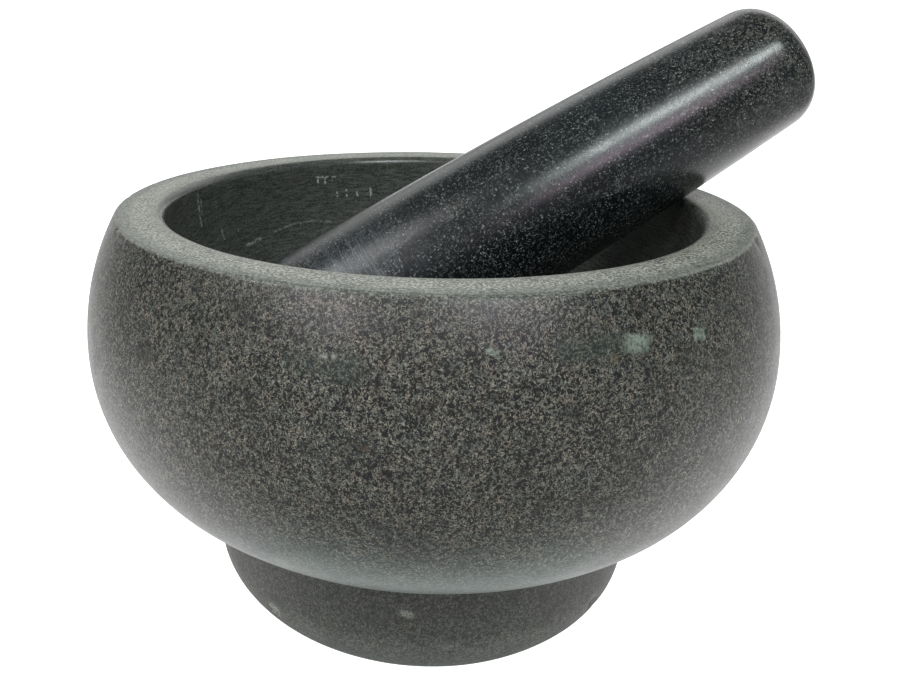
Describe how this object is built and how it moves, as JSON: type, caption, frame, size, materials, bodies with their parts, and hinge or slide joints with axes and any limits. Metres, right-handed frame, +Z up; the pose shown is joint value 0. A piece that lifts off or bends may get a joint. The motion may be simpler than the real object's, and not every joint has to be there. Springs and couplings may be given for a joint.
{
  "type": "mortar and pestle",
  "caption": "Footed stone mortar with a round hollow bowl and a loose club-shaped pestle that leans on its rim and lifts out.",
  "frame": {"origin": "centre of the mortar foot's flat underside", "axes": "+Z up the mortar's turning axis, +X towards the side of the rim that the resting pestle leans on"},
  "size_m": [0.1922, 0.18, 0.1609],
  "materials": {
    "honed_stone": "matte honed dark green-grey stone with fine pale flecks",
    "polished_stone": "polished blue-black stone with sparse pale flecks and fine turning scratches"
  },
  "bodies": {
    "mortar": {"mortar": "honed_stone"},
    "pestle": {"pestle": "polished_stone"}
  },
  "joints": [
    {"name": "pestle_lift", "type": "slide", "parent": "mortar", "child": "pestle", "axis": [0, 0, 1], "range_m": [0, 0.12]}
  ]
}
